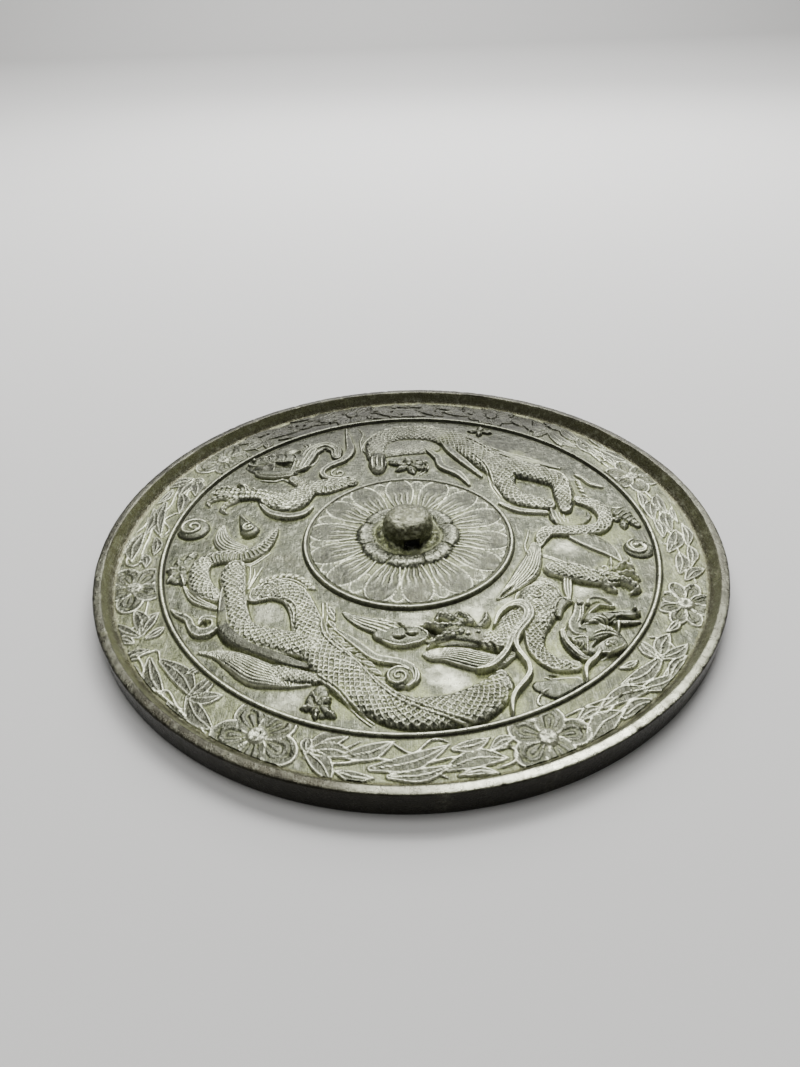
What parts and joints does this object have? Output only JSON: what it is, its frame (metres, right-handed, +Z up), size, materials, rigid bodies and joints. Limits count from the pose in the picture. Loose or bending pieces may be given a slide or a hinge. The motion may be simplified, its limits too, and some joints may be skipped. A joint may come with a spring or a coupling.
{
  "type": "ancient bronze mirror",
  "caption": "Round cast bronze mirror lying face down, its back carved with dragons and clouds, a lotus round a pierced knob, a flower border and a raised rim.",
  "frame": {"origin": "centre of the underside, which is the polished mirror face, on the surface it lies on", "axes": "+Z up out of the decorated back; +X to the right and +Y away, as seen by someone who looks at the near dragon's trunk; the cord hole under the knob runs along Y"},
  "size_m": [0.24, 0.24, 0.0164],
  "materials": {
    "bronze": "old cast bronze, olive grey-green patina, rubbed to a dull shine on the high relief"
  },
  "bodies": {
    "root": {"mirror": "bronze"}
  },
  "joints": []
}
